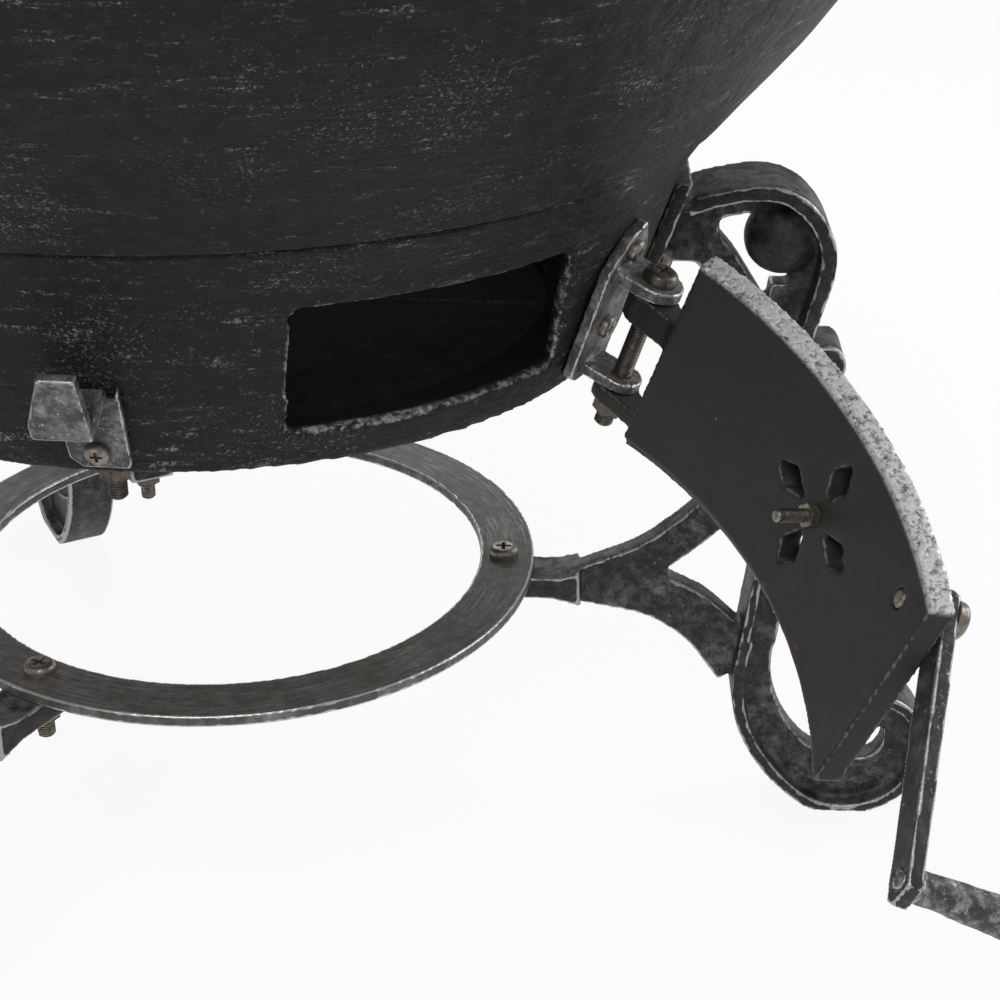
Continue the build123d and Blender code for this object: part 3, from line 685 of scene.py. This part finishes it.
def wind_thread(name, node, start, direction, length, radius, pitch, material):
    """Screw thread on a bare shank: one ridge wound along it from start."""
    turns = max(1, ceil(length / pitch))
    lead = length / turns
    lay_flat = Matrix(((0, 1, 0), (0, 0, 1), (1, 0, 0))).to_euler()
    clear_selection()
    bpy.ops.mesh.primitive_circle_add(vertices=3, radius=pitch * 0.55, rotation=lay_flat)
    ridge = bpy.context.object
    ridge.name = name
    bpy.ops.object.transform_apply(location=True, rotation=True, scale=True)
    bpy.ops.object.mode_set(mode="EDIT")
    bpy.ops.mesh.select_all(action="SELECT")
    bpy.ops.transform.resize(value=(0.62, 1, 0.95), center_override=(0, 0, 0))
    bpy.ops.transform.translate(value=(radius, 0, 0))
    bpy.ops.object.mode_set(mode="OBJECT")
    apply_modifier(
        ridge,
        "SCREW",
        axis="Z",
        angle=tau,
        screw_offset=lead,
        iterations=turns,
        steps=18,
        render_steps=18,
        use_merge_vertices=False,
        use_smooth_shade=False,
    )
    pick(ridge)
    bpy.ops.object.mode_set(mode="EDIT")
    bpy.ops.mesh.select_all(action="SELECT")
    bpy.ops.mesh.remove_doubles(threshold=0.000002)
    bpy.ops.mesh.fill_holes(sides=0)
    bpy.ops.mesh.select_all(action="SELECT")
    bpy.ops.mesh.normals_make_consistent(inside=False)
    bpy.ops.object.mode_set(mode="OBJECT")
    along = Vector(direction).to_track_quat("Z", "Y").to_matrix().to_4x4()
    ridge.matrix_world = Matrix.Translation(start) @ along
    bpy.ops.object.transform_apply(location=True, rotation=True, scale=True)
    ridge.data.materials.append(material)
    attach(ridge, body_of[node])
    return ridge


def polar(azimuth, radius, height):
    a = radians(azimuth)
    return pit_axis + Vector((radius * cos(a), radius * sin(a), height))


made_finishes = {}


def finishes():
    """The materials, made once and kept by name."""
    if not made_finishes:
        made_finishes.update(make_finishes(bpy.context.scene.pit_finish))
    return made_finishes


# Operators


class PIT_OT_studio(bpy.types.Operator):
    """Lays the pale floor and sets the lamps, the sky and the camera"""

    bl_idname = "fire_pit.studio"
    bl_label = "Studio"

    def execute(self, context):
        studio = context.scene.pit_studio
        context.scene.view_settings.view_transform = "Standard"
        self.floor(studio)
        self.sky(context.scene)
        self.lamp("key_lamp", (-0.9, -1.3, 1.9), 1.3, studio.lamp_power)
        self.lamp("right_lamp", (1.7, -0.5, 0.9), 1.0, studio.lamp_power * 0.55)
        self.lamp("back_lamp", (0.5, 1.6, 1.5), 1.2, studio.lamp_power * 0.5)
        self.camera(context.scene, studio)
        return {"FINISHED"}

    def floor(self, studio):
        """A matt floor that looks evenly white and still takes the pit's shadow."""
        clear_selection()
        bpy.ops.mesh.primitive_plane_add(size=studio.floor_size, location=(0, 0, -0.3 * MM))
        floor = bpy.context.object
        floor.name = "studio_floor"
        bpy.ops.object.transform_apply(location=True, rotation=True, scale=True)
        material, wire, place = new_finish("pale_floor")
        path = material.node_tree.nodes.new("ShaderNodeLightPath")
        names = ("Is Camera Ray", "Is Glossy Ray", "Is Transmission Ray")
        direct, mirrored, through = (Wire(wire.tree, path.outputs[name]) for name in names)
        seen = (direct + mirrored + through).least(1.0) * 0.9
        paper = place.noise(3.0, 2.0, 0.5).colours(solid((0.86, 0.86, 0.86)), solid((0.88, 0.88, 0.88)))
        values = {"Base Color": paper, "Roughness": 0.9, "Specular IOR Level": 0.1}
        matt = wire.add("ShaderNodeBsdfPrincipled", {}, values)
        white = wire.add("ShaderNodeEmission", {}, {"Color": solid((1.0, 1.0, 1.0)), "Strength": 1.0})
        shown = wire.add("ShaderNodeMixShader", {}, {0: seen, 1: matt, 2: white})
        wire.add("ShaderNodeOutputMaterial", {}, {"Surface": shown})
        floor.data.materials.append(material)

    def sky(self, scene):
        """White to the camera, and a soft grey light on the pit."""
        sky = bpy.data.worlds.new("pale_sky")
        scene.world = sky
        sky.use_nodes = True
        sky.node_tree.nodes.clear()
        wire = Wire(sky.node_tree)
        seen = wire.add("ShaderNodeLightPath", {}, {}, "Is Camera Ray")
        light = {"Color": solid((0.95, 0.97, 1.0)), "Strength": 0.36}
        grey = wire.add("ShaderNodeBackground", {}, light)
        white = wire.add("ShaderNodeBackground", {}, {"Color": solid((1.0, 1.0, 1.0)), "Strength": 1.0})
        shown = wire.add("ShaderNodeMixShader", {}, {0: seen, 1: grey, 2: white})
        wire.add("ShaderNodeOutputWorld", {}, {"Surface": shown})

    def lamp(self, name, place, size, power):
        """A square soft lamp that looks at the middle of the pit."""
        light = bpy.data.lights.new(name, "AREA")
        light.size = size
        light.energy = power
        lamp = bpy.data.objects.new(name, light)
        bpy.context.scene.collection.objects.link(lamp)
        aim = Vector((0.0, 0.0, 0.2)) - Vector(place)
        turn = aim.to_track_quat("-Z", "Y").to_matrix().to_4x4()
        lamp.matrix_world = Matrix.Translation(pit_axis + Vector(place)) @ turn

    def camera(self, scene, studio):
        """The photograph's camera."""
        lens = bpy.data.cameras.new("camera")
        lens.sensor_width = 36.0
        lens.lens = studio.focal_length
        lens.clip_start = 0.01
        camera = bpy.data.objects.new("camera", lens)
        scene.collection.objects.link(camera)
        yaw, down, roll = studio.heading, studio.tilt_down, studio.roll
        ahead = Vector((sin(yaw) * cos(down), cos(yaw) * cos(down), -sin(down)))
        level = Vector((cos(yaw), -sin(yaw), 0.0))
        over = level.cross(ahead)
        across = level * cos(roll) + over * sin(roll)
        up = over * cos(roll) - level * sin(roll)
        turn = Matrix((across, up, -ahead)).transposed().to_4x4()
        camera.matrix_world = Matrix.Translation(pit_axis + Vector(studio.camera_place)) @ turn
        scene.camera = camera


class PIT_OT_bowl(bpy.types.Operator):
    """Dresses the fire bowl, the drum, its floor plate and the grate"""

    bl_idname = "fire_pit.bowl"
    bl_label = "Bowl and drum"

    def execute(self, context):
        looks = finishes()
        drum = cast_copy("drum", context.scene.pit_finish, voxel=1.7, relief=1.6, lump=0.012)
        dull_seam(drum)
        bowl = worked_copy("fire_bowl")
        smooth_by_angle(bowl)
        for piece, node, look in ((drum, "drum", "drum"), (bowl, "fire_bowl", "bowl")):
            mark(piece, "inside", within_wall)
            stand_for(piece, node, looks[look])
        for node in ("ash_floor", "fire_grate"):
            piece = worked_copy(node)
            smooth_by_angle(piece)
            stand_for(piece, node, looks["grate"])
        return {"FINISHED"}


class PIT_OT_foot_ring(bpy.types.Operator):
    """Works the foot ring with its brushed top and worn edge"""

    bl_idname = "fire_pit.foot_ring"
    bl_label = "Foot ring"

    def execute(self, context):
        piece = cast_copy("foot_ring", context.scene.pit_finish, voxel=0.9, relief=0.4)
        stand_for(piece, "foot_ring", finishes()["ring"])
        return {"FINISHED"}


class PIT_OT_legs(bpy.types.Operator):
    """Works the three scrolled legs with soft cast edges"""

    bl_idname = "fire_pit.legs"
    bl_label = "Legs"

    def execute(self, context):
        for node, azimuth in LEG_AZIMUTHS.items():
            piece = cast_copy(node, context.scene.pit_finish)
            a = radians(azimuth)

            def on_web(point):
                place = point - pit_axis
                return 1.0 - step(abs(place.y * cos(a) - place.x * sin(a)), *LEG_WEB_FADE)

            mark(piece, "web", on_web)
            stand_for(piece, node, finishes()["leg"])
        return {"FINISHED"}


class PIT_OT_door(bpy.types.Operator):
    """Works the ash door, its rim torn bright, and the rosette damper on it"""

    bl_idname = "fire_pit.door"
    bl_label = "Ash door"

    def execute(self, context):
        piece = cast_copy("door", context.scene.pit_finish, voxel=0.8, relief=0.7, rounds=1)

        def on_rim(place):
            return step(shut_door_place(place).z, *(DOOR_TOP - fade for fade in DOOR_RIM_FADE))

        def on_foot(place):
            shut = shut_door_place(place) - pit_axis
            swing = radians(DOOR_FOOT_LEVEL) - atan2(shut.y, shut.x)
            rise = hypot(shut.x, shut.y) * sin(swing) * tan(radians(DOOR_FOOT_TILT))
            return 1.0 - step(shut.z - DOOR_BOTTOM - rise, *DOOR_LIP_FADE)

        mark(piece, "rim", on_rim)
        mark(piece, "foot", on_foot)
        stand_for(piece, "door", finishes()["door"])
        coat_node("damper_disc", finishes()["rosette"])
        return {"FINISHED"}


class PIT_OT_latch(bpy.types.Operator):
    """Works the latch bar and its hammered handle"""

    bl_idname = "fire_pit.latch"
    bl_label = "Latch and handle"

    def execute(self, context):
        finish = context.scene.pit_finish
        piece = cast_copy("latch_bar", finish, voxel=0.7, relief=1.0, rounds=1)
        stand_for(piece, "latch_bar", finishes()["bar"])
        piece = cast_copy("handle", finish, voxel=0.7, relief=2.2, lump=0.006, rounds=1)
        stand_for(piece, "handle", finishes()["handle"])
        return {"FINISHED"}


class PIT_OT_hinge(bpy.types.Operator):
    """Works the hinge bracket and the catch on the drum"""

    bl_idname = "fire_pit.hinge"
    bl_label = "Hinge and catch"

    def execute(self, context):
        finish = context.scene.pit_finish
        for node in ("hinge_bracket", "catch"):
            piece = cast_copy(node, finish, voxel=0.6, relief=0.9, lump=0.006, rounds=1)
            stand_for(piece, node, finishes()["work"])
        return {"FINISHED"}


class PIT_OT_screws(bpy.types.Operator):
    """Plates the screws, bolts and nuts, and winds threads on their bare shanks"""

    bl_idname = "fire_pit.screws"
    bl_label = "Screws and nuts"

    def execute(self, context):
        looks = finishes()
        for node, slot in slot_of.items():
            if slot == "zinc_steel" and node != "damper_disc":
                coat_node(node, looks["thread" if node in DULL_SCREWS else "zinc"])
        thread = looks["thread"]
        hinge = joints["door_hinge"]
        axis = Vector(hinge["axis"])
        for name, (low, length) in HINGE_PIN_THREADS.items():
            start = Vector(hinge["pos_m"]) + axis * low
            wind_thread(name, "hinge_pin", start, axis, length, M6_RADIUS, M6_PITCH, thread)
        for node, nut, azimuths, circle in (
            ("floor_bolts", "floor_nuts", FLOOR_BOLT_AZIMUTHS, FLOOR_BOLT_CIRCLE),
            ("ring_screws", "ring_nuts", LEG_AZIMUTHS.values(), RING_SCREW_CIRCLE),
        ):
            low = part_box(node)[0][2]
            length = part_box(nut)[0][2] - low - BOLT_ENDS
            for i, azimuth in enumerate(azimuths):
                start = polar(azimuth, circle, low + BOLT_END)
                name = f"{node[:-1]}_thread_{i}"
                wind_thread(name, node, start, (0, 0, 1), length, M6_RADIUS, M6_PITCH, thread)
        damper = joints["damper_turn"]
        inward = -Vector(damper["axis"])
        low, length = DAMPER_THREAD
        start = Vector(damper["pos_m"]) + inward * low
        wind_thread("damper_bolt_thread", "damper_bolt", start, inward, length, M4_RADIUS, M4_PITCH, thread)
        return {"FINISHED"}


OPERATORS = (
    PIT_OT_studio,
    PIT_OT_bowl,
    PIT_OT_foot_ring,
    PIT_OT_legs,
    PIT_OT_door,
    PIT_OT_latch,
    PIT_OT_hinge,
    PIT_OT_screws,
)


class PIT_PT_panel(bpy.types.Panel):
    """Lists the pit's sizes, colours and steps"""

    bl_idname = "PIT_PT_panel"
    bl_label = "Fire Pit"
    bl_space_type = "VIEW_3D"
    bl_region_type = "UI"
    bl_category = "Fire Pit"

    def draw(self, context):
        layout = self.layout
        for group in (context.scene.pit_finish, context.scene.pit_studio):
            box = layout.box()
            for key in group.__annotations__:
                box.prop(group, key)
        for operator in OPERATORS:
            layout.operator(operator.bl_idname)


CLASSES = (PitFinish, PitStudio) + OPERATORS + (PIT_PT_panel,)


def register():
    for item in CLASSES:
        bpy.utils.register_class(item)
    bpy.types.Scene.pit_finish = PointerProperty(type=PitFinish)
    bpy.types.Scene.pit_studio = PointerProperty(type=PitStudio)


def unregister():
    del bpy.types.Scene.pit_studio
    del bpy.types.Scene.pit_finish
    for item in reversed(CLASSES):
        bpy.utils.unregister_class(item)


def main():
    register()
    bpy.ops.fire_pit.studio()
    bpy.ops.fire_pit.bowl()
    bpy.ops.fire_pit.foot_ring()
    bpy.ops.fire_pit.legs()
    bpy.ops.fire_pit.door()
    bpy.ops.fire_pit.latch()
    bpy.ops.fire_pit.hinge()
    bpy.ops.fire_pit.screws()
    clear_selection()


if __name__ == "__main__":
    main()
